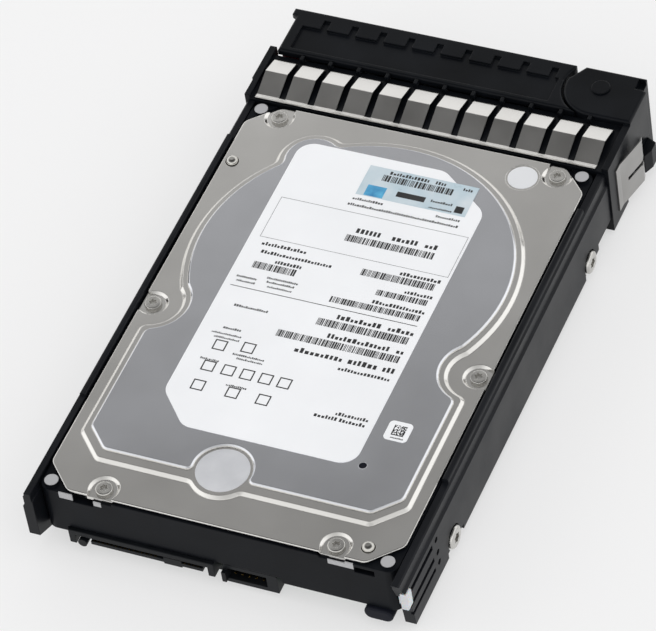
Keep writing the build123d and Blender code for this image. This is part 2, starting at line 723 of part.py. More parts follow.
CHIPS = [
    ((-8, 42), (14, 14), 1.2),
    ((11, 40), (8, 11), 1.0),
    ((12, 66), (9, 9), 1.0),
    ((-20, 60), (6, 5), 1.0),
    ((-30, 34), (7, 4.4), 1.3),
    ((28, 30), (5, 5), 1.2),
]
with BuildPart() as board_chips:
    for centre, size, height in CHIPS:
        with BuildSketch(Plane.XY.offset(BOARD_Z[1])):
            with Locations(centre):
                Rectangle(*size)
        extrude(amount=height)
board_chips.part.label = "board_chips"
export_step(board_chips.part, "parts/board_chips.step")

with BuildPart() as board_insulator:
    with BuildSketch(Plane.XY.offset(3.7)):
        add(board_outline(2.0))
        with Locations((0, 5)):
            Rectangle(100, 12, mode=Mode.SUBTRACT)
        with Locations(*BOARD_SCREWS):
            Circle(3.2, mode=Mode.SUBTRACT)
    extrude(amount=BOARD_ROOF - 3.7)
board_insulator.part.label = "board_insulator"
export_step(board_insulator.part, "parts/board_insulator.step")

board_screw = Rot(X=180) * pan_screw(2.3, 0.9, 1.1, 5.6, 1.0)
with BuildPart() as board_screws:
    with Locations(*[(x, y, BOARD_Z[0]) for x, y in BOARD_SCREWS]):
        add(board_screw)
board_screws.part.label = "board_screws"
export_step(board_screws.part, "parts/board_screws.step")

# data and power connector: a long shell with a contact tongue, a key and a guide post
PLUG_X = (-43.9, -2.0)
KEY_X = (-16.8, -11.6)
with BuildPart() as data_connector:
    add(block(PLUG_X, (3.4, 7.8), (BOARD_Z[1], 9.3)))
    add(block(PLUG_X, (-1.0, 3.4), (7.7, 9.3)))
    add(block((PLUG_X[0], PLUG_X[0] + 1.8), (-1.0, 3.4), (4.4, 7.7)))
    add(block((PLUG_X[1] - 1.8, PLUG_X[1]), (-1.0, 3.4), (4.4, 7.7)))
    add(block((PLUG_X[0] + 6.0, PLUG_X[1] - 3.6), (-0.6, 3.4), (4.9, 6.1)))
    add(block(KEY_X, (-0.6, 3.4), (4.4, 6.9)))
    with Locations(Location((PLUG_X[0] + 3.9, 1.0, 5.6), (90, 0, 0))):
        Cylinder(1.3, 5.0)
    fillet(data_connector.edges().filter_by(Axis.X).group_by(Axis.Z)[-1], radius=0.25)
data_connector.part.label = "data_connector"
export_step(data_connector.part, "parts/data_connector.step")

CONTACT_PITCH = 1.27
with BuildPart() as connector_contacts:
    for first, count, top in ((-37.0, 15, 6.1), (-10.8, 4, 6.1), (KEY_X[0] + 0.7, 4, 6.9)):
        for number in range(count):
            x = first + number * CONTACT_PITCH
            add(block((x - 0.32, x + 0.32), (-0.4, 3.3), (top, top + 0.1)))
connector_contacts.part.label = "connector_contacts"
export_step(connector_contacts.part, "parts/connector_contacts.step")

with BuildPart() as service_header:
    add(block((0.0, 15.5), (0.4, 7.8), (BOARD_Z[1], 8.9)))
    add(block((1.2, 12.4), (-1.0, 5.2), (3.6, 7.6)), mode=Mode.SUBTRACT)
    add(block((0.0, 1.2), (-1.0, 0.4), (3.4, 7.0)))
    fillet(service_header.edges().filter_by(Axis.Y).group_by(Axis.Z)[-1], radius=0.6)
service_header.part.label = "service_header"
export_step(service_header.part, "parts/service_header.step")

with BuildPart() as header_pins:
    with Locations((6.8, 3.4, 5.6)):
        with GridLocations(2.0, 2.0, 5, 1):
            for row in (-1, 1):
                with Locations((0, 0, row)):
                    Box(0.5, 3.6, 0.5)
header_pins.part.label = "header_pins"
export_step(header_pins.part, "parts/header_pins.step")

with BuildPart() as rear_bumper:
    with BuildSketch(Plane.XZ.offset(1.2)):
        with Locations((44.4, 5.5)):
            SlotOverall(8.1, 4.2)
    extrude(amount=-10.7)
    fillet(rear_bumper.faces().sort_by(Axis.Y)[0].edges(), radius=0.7)
rear_bumper.part.label = "rear_bumper"
export_step(rear_bumper.part, "parts/rear_bumper.step")

# ---------------------------------------------------------------- carrier rails
PIPE_Z = (12.2, 15.8)
FIXED_SIDE_Y = (SIDE_HOLES_Y[0], SIDE_HOLES_Y[2])
SCREW_SEAT_X = 53.0
with BuildPart() as rail_shape:
    with BuildSketch(Plane.XZ.offset(-RAIL_REAR)):
        Polygon(
            (RAIL_IN, RAIL_LOW), (RAIL_OUT, RAIL_LOW), (RAIL_OUT, 19.0), (53.3, 19.6), (53.3, 22.9),
            (52.9, 23.3), (52.9, RAIL_TOP), (51.1, RAIL_TOP), (51.1, 21.5), (RAIL_IN, 21.2), align=None,
        )
    extrude(amount=-(BEZEL_Y - RAIL_REAR))
    ridge = rail_shape.edges().filter_by(Axis.Y).group_by(Axis.Z)[-1]
    fillet(ridge, radius=0.55)
    # the ridge stops short of the front end
    add(block((50, 55), (132.0, BEZEL_Y + 1), (23.3, 26)), mode=Mode.SUBTRACT)
    # raised lower edge round the side screws and under the front end
    add(block((50, 55), (24.2, 34.8), (2, 4.4)), mode=Mode.SUBTRACT)
    add(block((50, 55), (126.6, 137.0), (2, 4.4)), mode=Mode.SUBTRACT)
    add(block((50, 55), (136.9, BEZEL_Y + 1), (2, 6.4)), mode=Mode.SUBTRACT)
    with Locations(*[Location((SCREW_SEAT_X + 1.0, y, SIDE_HOLES_Z), (0, 90, 0)) for y in FIXED_SIDE_Y]):
        Cylinder(3.7, 2.0, mode=Mode.SUBTRACT)
    with Locations(*[Location((52.0, y, SIDE_HOLES_Z), (0, 90, 0)) for y in FIXED_SIDE_Y]):
        Cylinder(2.0, 4.0, mode=Mode.SUBTRACT)
    # grip grooves and dimples near the rear end
    for low, high in ((7.0, 8.4), (10.8, 12.4), (15.6, 17.4)):
        add(block((53.1, 55), (-2.5, 16.0), (low, high)), mode=Mode.SUBTRACT)
    with Locations(*[Location((RAIL_OUT, 18.6, z), (0, 90, 0)) for z in (7.7, 11.6, 16.5)]):
        Cylinder(0.9, 1.0, mode=Mode.SUBTRACT)

with BuildPart() as left_rail:
    add(mirror(rail_shape.part, about=Plane.YZ))
    # lower ridge near the rear, and an upright rear end cut away below
    add(block((-55, -50), (RAIL_REAR, 32.0), (24.2, 26)), mode=Mode.SUBTRACT)
    with BuildSketch(Plane.YZ.offset(-55)):
        Polygon((-4.1, 8.0), (-4.1, 2.0), (8.5, 2.0), align=None)
    extrude(amount=5, mode=Mode.SUBTRACT)
left_rail.part.label = "left_rail"
export_step(left_rail.part, "parts/left_rail.step")

with BuildPart() as right_rail:
    add(rail_shape.part)
    # lower ridge near the rear, and a raked rear end
    add(block((50, 55), (RAIL_REAR, 32.0), (23.3, 26)), mode=Mode.SUBTRACT)
    with BuildSketch(Plane.YZ.offset(50)):
        Polygon((-4.1, 23.4), (-4.1, 2.0), (1.2, 2.0), (0.6, 8.0), (-1.6, 17.0), (-3.4, 22.0), align=None)
    extrude(amount=5, mode=Mode.SUBTRACT)
    # channel of the light pipe, and the notch of its head
    add(block((50, 52.2), (-6, BEZEL_Y + 1), (PIPE_Z[0] - 0.2, PIPE_Z[1] + 0.2)), mode=Mode.SUBTRACT)
    add(block((52.1, 55), (-6, 0.6), (11.8, 18.6)), mode=Mode.SUBTRACT)
    add(block((50, 52.2), (-6, 0.6), (11.8, 16.2)), mode=Mode.SUBTRACT)
right_rail.part.label = "right_rail"
export_step(right_rail.part, "parts/right_rail.step")

drive_screw = pan_screw(3.3, 1.8, 1.7, 7.0, 1.5)
with BuildPart() as drive_screws:
    for side in (-1, 1):
        for y in FIXED_SIDE_Y:
            with Locations(Location((side * SCREW_SEAT_X, y, SIDE_HOLES_Z), (0, side * 90, 0))):
                add(drive_screw)
drive_screws.part.label = "drive_screws"
export_step(drive_screws.part, "parts/drive_screws.step")

# ---------------------------------------------------------------- carrier bezel
WALL_L = (-54.0, -52.4)
WALL_R = (52.4, 54.4)
DECK_Z = (22.6, 24.2)
FRONT_WALL_Y = (163.4, 165.0)
BOTTOM_Z = (1.6, 3.2)
with BuildPart() as bezel:
    add(block(WALL_L, (BEZEL_Y, 167.0), (BOTTOM_Z[0], 25.4)))
    add(block(WALL_R, (BEZEL_Y, 177.6), (BLOCK_Z[0], 25.4)))
    add(block(WALL_R, (BEZEL_Y, 158.6), (BOTTOM_Z[0], BLOCK_Z[0])))
    add(block((WALL_L[1], WALL_R[0]), (BEZEL_Y, 181.0), BOTTOM_Z))
    add(block((WALL_L[1], WALL_R[0]), (BEZEL_Y, FRONT_WALL_Y[1]), DECK_Z))
    # rear wall against the drive, and the inner front wall, both open for cooling air
    add(block((WALL_L[1], WALL_R[0]), (BEZEL_Y, BEZEL_Y + 1.6), (BOTTOM_Z[1], DECK_Z[0])))
    add(block((WALL_L[1], WALL_R[0]), FRONT_WALL_Y, (BOTTOM_Z[1], DECK_Z[0])))
    with Locations((0, BEZEL_Y + 10, 12.6)):
        with GridLocations(6.4, 1, 15, 1):
            Box(4.6, 50, 13.0, mode=Mode.SUBTRACT)
    # ribs between the tips of the spring fingers
    strip_middle = FINGER_X0 + (FINGER_PITCH * (FINGERS - 1) + FINGER_W) / 2
    with Locations((strip_middle, 164.2, 24.9)):
        with GridLocations(FINGER_PITCH, 1, FINGERS - 1, 1):
            Box(1.0, 1.6, 2.6)
    # room for the lever's hook to swing through the inner wall
    add(block((34, WALL_R[0]), (FRONT_WALL_Y[0] - 1, FRONT_WALL_Y[1] + 1), (BOTTOM_Z[1], BLOCK_Z[0])),
        mode=Mode.SUBTRACT)
    # catch tab on the left wall
    add(block((-54.4, -54.0), (153.7, 167.0), (8.0, 25.4)))
with BuildPart() as hinge_block:
    with BuildSketch(Plane.XY.offset(BLOCK_Z[0])):
        with Locations(HINGE):
            Circle(BLOCK_R)
        Polygon(
            (42.0, 165.0), (WALL_R[1], 165.0), (WALL_R[1], 177.6), (53.0, 178.4), (53.0, 182.4),
            (42.0, 182.4), align=None,
        )
        Polygon((30.0, 177.6), (32.2, 177.6), (36.2, 184.0), (30.0, 184.0), align=None, mode=Mode.SUBTRACT)
        with Locations((HINGE[0], 187.4)):
            Rectangle(40, 10, mode=Mode.SUBTRACT)
    extrude(amount=BLOCK_Z[1] - BLOCK_Z[0])
    fillet(hinge_block.faces().sort_by(Axis.Z)[-1].edges(), radius=0.8)
    # dark recess on top near the right wall, and the display windows in front
    add(block((51.0, 55.0), (177.7, 181.6), (24.6, 27)), mode=Mode.SUBTRACT)
    for x in (44.0, 47.0):
        with Locations(Location((x, 182.4, 19.0), (90, 0, 0))):
            Cylinder(0.9, 1.6, mode=Mode.SUBTRACT)
with BuildPart() as bezel_whole:
    add(bezel.part)
    add(hinge_block.part)
    # post at the front right corner, from the block down to the bottom plate
    add(block((51.6, 53.0), (178.8, 182.4), (BOTTOM_Z[0], BLOCK_Z[0] + 1)))
    # channel for the light pipe
    add(block((50.7, 52.2), (140, 184), (PIPE_Z[0] - 0.2, PIPE_Z[1] + 0.2)), mode=Mode.SUBTRACT)
    # latch shelf beside the left wall
    add(block((WALL_L[1], -45.6), (FRONT_WALL_Y[1], 177.0), (5.5, 6.0)))
    with Locations((*HINGE, 14)):
        Cylinder(1.5, 40, mode=Mode.SUBTRACT)
bezel_whole.part.label = "bezel"
export_step(bezel_whole.part, "parts/bezel.step")

# ---------------------------------------------------------------- shielding springs
SPRING_T = 0.3


def bent_strip(points, thickness, radius=0.8):
    """The section of a thin sheet bent along a line of points."""
    with BuildSketch() as section:
        with BuildLine():
            FilletPolyline(*points, radius=radius)
        trace(line_width=thickness)
    return section.sketch


with BuildPart() as finger_strip:
    low = DECK_Z[1] + SPRING_T / 2
    strip_length = FINGER_PITCH * (FINGERS - 1) + FINGER_W
    with BuildSketch(Plane.YZ.offset(FINGER_X0)):
        add(bent_strip([(147.6, low + 0.4), (148.3, low + 0.15), (148.9, low)], SPRING_T, 0.3))
    extrude(amount=strip_length)
    for number in range(FINGERS):
        with BuildSketch(Plane.YZ.offset(FINGER_X0 + number * FINGER_PITCH)):
            points = [(147.8, low + 0.35), (149.1, low), (156.0, 26.9), (161.9, 25.4), (162.9, low + 0.1)]
            add(bent_strip(points, SPRING_T, 0.5))
        extrude(amount=FINGER_W)
finger_strip.part.label = "finger_strip"
export_step(finger_strip.part, "parts/finger_strip.step")

with BuildPart() as side_spring:
    with BuildSketch(Plane.XY.offset(4.9)):
        add(bent_strip([(54.6, 151.7), (54.6, 154.4), (57.0, 164.6), (56.6, 166.2)], 0.35, 0.7))
    extrude(amount=15.6)
    add(block((50, 60), (157.6, 170), (11.4, 12.6)), mode=Mode.SUBTRACT)
    add(block((50, 60), (164.0, 170), (11.2, 12.8)), mode=Mode.SUBTRACT)
side_spring.part.label = "side_spring"
export_step(side_spring.part, "parts/side_spring.step")

# ---------------------------------------------------------------- ejector lever and its pin
with BuildPart() as lever:
    with BuildSketch(Plane.XY.offset(LEVER_Z[0])) as lever_plan:
        Polygon(
            (LEVER_X0, LEVER_Y[0]), (41.0, LEVER_Y[0]), (41.0, 172), (34.0, 172), (34.0, 176),
            (32.4, LEVER_Y[1]), (LIP_X, LEVER_Y[1]), (LIP_X, 180.0), (LEVER_X0, 179.2), align=None,
        )
        with Locations(HINGE):
            Circle(BLOCK_R + 0.5, mode=Mode.SUBTRACT)
        Polygon((31.0, 176.0), (33.0, 182.6), (37.0, 182.6), (37.0, 176.0), align=None, mode=Mode.SUBTRACT)
    extrude(amount=LEVER_Z[1] - LEVER_Z[0])
    fillet(lever.faces().sort_by(Axis.Z)[-1].edges(), radius=0.7)
    # open at the back between the top and the bottom plate, round the release button at the left
    add(block((LIP_X - 1, -44.8), (160, 184), (5.3, 24.4)), mode=Mode.SUBTRACT)
    add(block((-43.2, 28.0), (160, 180.3), (5.3, 24.4)), mode=Mode.SUBTRACT)
    for x in (-26.0, -8.6, 8.6, 22.0):
        add(block((x - 0.8, x + 0.8), (166.0, 180.4), (5.2, 24.5)))
    # cooling slots through the front plate
    with Locations((-7.6, 181.0, 14.8)):
        with GridLocations(5.2, 1, 13, 1):
            Box(3.2, 6, 12.0, mode=Mode.SUBTRACT)
    # shallow tray on top, with nicks in its front rim that leave a row of pads
    add(block((-48.2, 29.4), (166.9, 176.1), (25.6, 27)), mode=Mode.SUBTRACT)
    with Locations((-7.3, 177.6, 26.4)):
        with GridLocations(FINGER_PITCH, 1, 9, 1):
            Box(2.1, 4.0, 1.6, mode=Mode.SUBTRACT)
    # hub, neck and cam hook under the hinge block
    with BuildSketch(Plane.XY.offset(LEVER_Z[0])):
        with Locations(HINGE):
            Circle(8.0)
        Polygon((24.0, 169.4), (42.0, 168.2), (42.0, 182.2), (24.0, 182.2), align=None)
        Polygon((42.0, 167.8), (49.0, 168.4), (56.0, 168.6), (57.2, 171.4), (57.2, 174.6), (54.6, 175.8),
                (49.5, 178.4), align=None)
    extrude(amount=TONGUE_TOP - LEVER_Z[0])
    with Locations((*HINGE, 14)):
        Cylinder(1.5 + FIT, 40, mode=Mode.SUBTRACT)
        with Locations((0, 0, -5.9)):
            Cylinder(3.6, 4.2, mode=Mode.SUBTRACT)
lever.part.label = "lever"
export_step(lever.part, "parts/lever.step")

with BuildPart() as lever_pin:
    with BuildSketch(Plane.XY.offset(BOTTOM_Z[0])):
        with Locations(HINGE):
            Circle(1.5)
    extrude(amount=BLOCK_Z[1] - BOTTOM_Z[0])
    with BuildSketch(Plane.XY.offset(BLOCK_Z[1])):
        with Locations(HINGE):
            Circle(2.65)
    extrude(amount=0.5)
    fillet(lever_pin.faces().sort_by(Axis.Z)[-1].edges(), radius=0.2)
lever_pin.part.label = "lever_pin"
export_step(lever_pin.part, "parts/lever_pin.step")

with BuildPart() as lever_spring:
    with BuildLine():
        Helix(pitch=0.7, height=2.8, radius=2.6, center=(*HINGE, 6.8))
    with BuildSketch(Plane((HINGE[0] + 2.6, HINGE[1], 6.8), x_dir=(1, 0, 0), z_dir=(0, 1, 0))):
        Circle(0.26)
    sweep(is_frenet=True)
lever_spring.part.label = "lever_spring"
export_step(lever_spring.part, "parts/lever_spring.step")

# ---------------------------------------------------------------- release button and its spring
BUTTON_X = (-51.8, -46.0)
BUTTON_Z = (6.2, 23.6)
with BuildPart() as release_button:
    add(block(BUTTON_X, (168.2, 181.6), BUTTON_Z))
    fillet(release_button.faces().sort_by(Axis.Y)[-1].edges(), radius=0.8)
    with Locations(Location((-48.9, 171.2, 14.9), (90, 0, 0))):
        Cylinder(2.1, 6.2, mode=Mode.SUBTRACT)
    # catch on top of the button
    add(block((-50.4, -47.4), (170.0, 171.2), (23.6, 24.2)))
release_button.part.label = "release_button"
export_step(release_button.part, "parts/release_button.step")

with BuildPart() as button_spring:
    with BuildLine():
        Helix(pitch=1.3, height=8.2, radius=1.6, center=(-48.9, 165.75, 14.9), direction=(0, 1, 0))
    with BuildSketch(Plane((-48.9 + 1.6, 165.75, 14.9), x_dir=(1, 0, 0), z_dir=(0, 0, -1))):
        Circle(0.22)
    sweep(is_frenet=True)
button_spring.part.label = "button_spring"
export_step(button_spring.part, "parts/button_spring.step")

# ---------------------------------------------------------------- light pipe
with BuildPart() as light_pipe:
    add(block((50.9, 52.1), (0.0, 182.2), PIPE_Z))
    add(block((51.0, 52.6), (-0.6, 0.4), PIPE_Z))
    add(block((52.3, 54.4), (-2.2, 0.4), (12.2, 18.2)))
    fillet(light_pipe.edges().filter_by(Axis.Y).group_by(Axis.X)[-1], radius=0.6)
light_pipe.part.label = "light_pipe"
export_step(light_pipe.part, "parts/light_pipe.step")
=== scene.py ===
from math import cos, pi, radians, sin
from random import Random

import bmesh
import bpy
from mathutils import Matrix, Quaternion, Vector


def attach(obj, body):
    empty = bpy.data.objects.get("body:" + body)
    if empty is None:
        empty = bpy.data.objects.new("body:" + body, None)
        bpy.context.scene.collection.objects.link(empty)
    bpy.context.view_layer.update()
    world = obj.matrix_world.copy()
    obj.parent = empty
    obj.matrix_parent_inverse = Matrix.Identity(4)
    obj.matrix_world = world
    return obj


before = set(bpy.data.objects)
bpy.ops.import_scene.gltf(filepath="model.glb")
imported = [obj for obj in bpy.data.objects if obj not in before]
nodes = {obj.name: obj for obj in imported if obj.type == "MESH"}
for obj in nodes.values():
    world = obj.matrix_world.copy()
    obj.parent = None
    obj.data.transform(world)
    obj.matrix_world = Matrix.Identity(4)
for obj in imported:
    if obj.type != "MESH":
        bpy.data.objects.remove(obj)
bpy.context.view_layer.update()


# ---------------------------------------------------------------- base casting
# The drive's body is die cast aluminium with a thin black electrocoat. After coating, the four
# corner pads and short strips along the rear rim are milled back to bare metal.
MM = 0.001


def new_surface(name, dark, light, rough, metal=0.0, grain=0.4, stretch=(1, 1, 1), depth=0.01,
                mottle=14.0, edge=0.0, shine=0.5):
    """A finish with slow changes of tone and gloss, a fine relief (sizes in mm) and eased edges.

    Shine is the strength of the reflection at the surface of what isn't metal.
    """
    material = bpy.data.materials.new(name)
    material.use_nodes = True
    tree = material.node_tree
    shader = tree.nodes["Principled BSDF"]
    shader.inputs["Metallic"].default_value = metal
    shader.inputs["Specular IOR Level"].default_value = shine
    place = tree.nodes.new("ShaderNodeTexCoord").outputs["Object"]
    slow = tree.nodes.new("ShaderNodeTexNoise")
    slow.inputs["Scale"].default_value = 1 / (mottle * MM)
    slow.inputs["Detail"].default_value = 4
    tree.links.new(place, slow.inputs["Vector"])
    tone = tree.nodes.new("ShaderNodeValToRGB")
    tone.name = "tone"
    tone.color_ramp.elements[0].position = 0.3
    tone.color_ramp.elements[0].color = (*dark, 1)
    tone.color_ramp.elements[1].position = 0.7
    tone.color_ramp.elements[1].color = (*light, 1)
    tree.links.new(slow.outputs["Fac"], tone.inputs["Fac"])
    tree.links.new(tone.outputs["Color"], shader.inputs["Base Color"])
    gloss = tree.nodes.new("ShaderNodeMapRange")
    gloss.inputs["From Min"].default_value = 0.3
    gloss.inputs["From Max"].default_value = 0.7
    gloss.inputs["To Min"].default_value = rough[0]
    gloss.inputs["To Max"].default_value = rough[1]
    tree.links.new(slow.outputs["Fac"], gloss.inputs["Value"])
    tree.links.new(gloss.outputs["Result"], shader.inputs["Roughness"])
    spread = tree.nodes.new("ShaderNodeMapping")
    spread.inputs["Scale"].default_value = stretch
    tree.links.new(place, spread.inputs["Vector"])
    fine = tree.nodes.new("ShaderNodeTexNoise")
    fine.inputs["Scale"].default_value = 1 / (grain * MM)
    fine.inputs["Detail"].default_value = 3
    tree.links.new(spread.outputs["Vector"], fine.inputs["Vector"])
    relief = tree.nodes.new("ShaderNodeBump")
    relief.name = "relief"
    relief.inputs["Strength"].default_value = 0.5
    relief.inputs["Distance"].default_value = depth * MM
    tree.links.new(fine.outputs["Fac"], relief.inputs["Height"])
    tree.links.new(relief.outputs["Normal"], shader.inputs["Normal"])
    if edge:
        eased = tree.nodes.new("ShaderNodeBevel")
        eased.samples = 4
        eased.inputs["Radius"].default_value = edge * MM
        tree.links.new(eased.outputs["Normal"], relief.inputs["Normal"])
    return material


def coat(material, *names):
    """Gives CAD pieces a finish."""
    for name in names:
        nodes[name].data.materials.clear()
        nodes[name].data.materials.append(material)


def within(tree, value, low, high):
    """1 where a value lies between two limits, else 0."""
    band = tree.nodes.new("ShaderNodeMath")
    band.operation = "COMPARE"
    band.inputs[1].default_value = (low + high) / 2
    band.inputs[2].default_value = (high - low) / 2
    tree.links.new(value, band.inputs[0])
    return band.outputs[0]


def combine(tree, how, first, second):
    """One math node on two values."""
    step = tree.nodes.new("ShaderNodeMath")
    step.operation = how
    for socket, value in zip(step.inputs, (first, second)):
        if isinstance(value, (int, float)):
            socket.default_value = value
        else:
            tree.links.new(value, socket)
    return step.outputs[0]


PAD_TOP = 24.0
RIM = (20.9, 23.2)
REAR_STRIPS = ((-44.8, -40.9), (-34.8, -32.6), (31.8, 39.0))
casting_finish = new_surface("casting_finish", (0.003, 0.0035, 0.005), (0.006, 0.007, 0.009), (0.28, 0.4),
                             grain=0.7, depth=0.03, edge=0.4, shine=0.08)
tree = casting_finish.node_tree
shader = tree.nodes["Principled BSDF"]
axes = tree.nodes.new("ShaderNodeSeparateXYZ")
tree.links.new(tree.nodes["Texture Coordinate"].outputs["Object"], axes.inputs["Vector"])
bare = within(tree, axes.outputs["Z"], PAD_TOP * MM, (PAD_TOP + 5) * MM)
rear_face = combine(tree, "MULTIPLY", within(tree, axes.outputs["Y"], -0.1 * MM, 0.25 * MM),
                    within(tree, axes.outputs["Z"], RIM[0] * MM, RIM[1] * MM))
for low, high in REAR_STRIPS:
    strip = combine(tree, "MULTIPLY", rear_face, within(tree, axes.outputs["X"], low * MM, high * MM))
    bare = combine(tree, "MAXIMUM", bare, strip)
milled = tree.nodes.new("ShaderNodeMix")
milled.data_type = "RGBA"
milled.inputs["B"].default_value = (0.4, 0.4, 0.41, 1)
tree.links.new(bare, milled.inputs["Factor"])
tree.links.new(tree.nodes["tone"].outputs["Color"], milled.inputs["A"])
tree.links.new(milled.outputs["Result"], shader.inputs["Base Color"])
coat(casting_finish, "base_casting")


# ---------------------------------------------------------------- spindle motor
# A brushless motor pressed into the casting: machined alloy base and hub, a ground steel shaft and
# sleeve, a laminated stator with nine enamelled copper coils, and a dark sintered magnet ring.
turned_alloy = new_surface("turned_alloy", (0.5, 0.5, 0.51), (0.62, 0.62, 0.63), (0.22, 0.32), metal=1.0,
                           grain=0.25, depth=0.006, mottle=9, edge=0.15)
ground_steel = new_surface("ground_steel", (0.45, 0.45, 0.46), (0.56, 0.56, 0.57), (0.14, 0.22), metal=1.0,
                           grain=0.2, stretch=(1, 1, 6), depth=0.003, mottle=6, edge=0.1)
stator_steel = new_surface("stator_steel", (0.1, 0.1, 0.11), (0.16, 0.16, 0.17), (0.4, 0.5), metal=0.8,
                           grain=0.35, stretch=(0.05, 0.05, 1), depth=0.03, mottle=5)
ring_magnet = new_surface("ring_magnet", (0.03, 0.03, 0.032), (0.05, 0.05, 0.052), (0.45, 0.55), metal=0.4,
                          grain=0.3, depth=0.01, mottle=4)


def wound_wire(name, pitch, direction):
    """Enamelled copper wire: fine parallel turns across one direction."""
    wire = new_surface(name, (0.42, 0.13, 0.035), (0.62, 0.22, 0.06), (0.2, 0.3), metal=1.0, mottle=2)
    tree = wire.node_tree
    turns = tree.nodes.new("ShaderNodeTexWave")
    turns.bands_direction = direction
    turns.inputs["Scale"].default_value = 0.314 / (pitch * MM)
    tree.links.new(tree.nodes["Texture Coordinate"].outputs["Object"], turns.inputs["Vector"])
    relief = tree.nodes["relief"]
    relief.inputs["Distance"].default_value = 0.25 * pitch * MM
    tree.links.new(turns.outputs["Fac"], relief.inputs["Height"])
    return wire


coat(turned_alloy, "motor_base", "motor_hub", "disk_spacers", "disk_clamp")
coat(ground_steel, "motor_shaft", "bearing_sleeve", "pivot_post", "pivot_bearing")
coat(stator_steel, "motor_stator")
coat(ring_magnet, "rotor_magnet")
coat(wound_wire("coil_wire", 0.3, "Z"), "stator_coils")


# ---------------------------------------------------------------- disks
# Four polished alloy disks with a thin magnetic film, clear as mirrors with faint turning rings.
# Spacers keep them apart and a clamp plate with six screws presses the stack onto the hub.
SPINDLE = (0.0, 95.0)
disk_film = new_surface("disk_film", (0.66, 0.66, 0.68), (0.72, 0.72, 0.74), (0.04, 0.07), metal=1.0,
                        mottle=40)
tree = disk_film.node_tree
centre = tree.nodes.new("ShaderNodeMapping")
centre.inputs["Location"].default_value = (-SPINDLE[0] * MM, -SPINDLE[1] * MM, 0)
rings = tree.nodes.new("ShaderNodeTexWave")
rings.wave_type = "RINGS"
rings.rings_direction = "Z"
rings.inputs["Scale"].default_value = 900
tree.links.new(tree.nodes["Texture Coordinate"].outputs["Object"], centre.inputs["Vector"])
tree.links.new(centre.outputs["Vector"], rings.inputs["Vector"])
tree.nodes["relief"].inputs["Distance"].default_value = 0.0004 * MM
tree.links.new(rings.outputs["Fac"], tree.nodes["relief"].inputs["Height"])
coat(disk_film, "platters")
zinc_plate = new_surface("zinc_plate", (0.5, 0.49, 0.47), (0.68, 0.67, 0.64), (0.2, 0.34), metal=1.0,
                         grain=0.3, depth=0.008, mottle=3, edge=0.15)
coat(zinc_plate, "clamp_screws", "cover_screws", "board_screws", "drive_screws")


# ---------------------------------------------------------------- actuator
# A milled alloy arm block turns on a cartridge bearing. Thin stamped steel suspensions are swaged
# to its tips, each with a lapped ceramic slider, and a flat copper coil is bonded in its fork.
milled_alloy = new_surface("milled_alloy", (0.52, 0.53, 0.54), (0.64, 0.65, 0.66), (0.28, 0.4), metal=1.0,
                           grain=0.3, stretch=(1, 8, 1), depth=0.006, mottle=8, edge=0.12)
stamped_sheet = new_surface("stamped_sheet", (0.5, 0.5, 0.5), (0.62, 0.62, 0.61), (0.2, 0.3), metal=1.0,
                            grain=0.2, depth=0.003, mottle=4)
lapped_ceramic = new_surface("lapped_ceramic", (0.035, 0.036, 0.04), (0.06, 0.06, 0.065), (0.1, 0.16),
                             grain=0.1, depth=0.001, mottle=1)
coat(milled_alloy, "actuator_arm")
coat(stamped_sheet, "suspensions")
coat(lapped_ceramic, "head_sliders")
coat(wound_wire("voice_wire", 0.22, "Z"), "voice_coil")


# ---------------------------------------------------------------- magnets, stops, ramp and latch
# Nickel plated steel plates hold two magnets above and below the coil. Rubber posts stop the arm,
# and a cream moulded ramp and latch park it.
nickel_plate = new_surface("nickel_plate", (0.5, 0.49, 0.46), (0.62, 0.61, 0.58), (0.12, 0.2), metal=1.0,
                           grain=0.5, depth=0.006, mottle=7, edge=0.2)
soft_rubber = new_surface("soft_rubber", (0.004, 0.005, 0.009), (0.008, 0.009, 0.015), (0.5, 0.65),
                          grain=0.35, depth=0.02, mottle=4, edge=0.3, shine=0.15)
cream_moulding = new_surface("cream_moulding", (0.6, 0.55, 0.42), (0.68, 0.64, 0.52), (0.4, 0.5),
                             grain=0.4, depth=0.01, mottle=5, edge=0.1)
coat(nickel_plate, "lower_magnet_plate", "upper_magnet_plate", "coil_magnets", "locating_pins", "latch_pin")
coat(soft_rubber, "crash_stops", "cover_gasket", "rear_bumper")
coat(cream_moulding, "parking_ramp", "actuator_latch")


# ---------------------------------------------------------------- flexible cable and filters
# A folded amber film cable joins the arm to a black moulded bracket. Two pouches of white
# non-woven cloth catch dust and moisture in the chamber's corner.
amber_film = new_surface("amber_film", (0.42, 0.16, 0.02), (0.55, 0.24, 0.035), (0.16, 0.26),
                         grain=0.8, stretch=(1, 1, 5), depth=0.01, mottle=4)
black_moulding = new_surface("black_moulding", (0.004, 0.005, 0.006), (0.008, 0.009, 0.011), (0.36, 0.5),
                             grain=0.35, depth=0.012, mottle=9, edge=0.2, shine=0.16)
filter_cloth = new_surface("filter_cloth", (0.66, 0.66, 0.63), (0.8, 0.8, 0.78), (0.8, 0.95),
                           grain=0.45, stretch=(1, 1, 0.3), depth=0.12, mottle=3)
coat(amber_film, "flex_cable")
coat(black_moulding, "flex_bracket", "data_connector", "service_header")
coat(filter_cloth, "air_filter", "desiccant_pack")


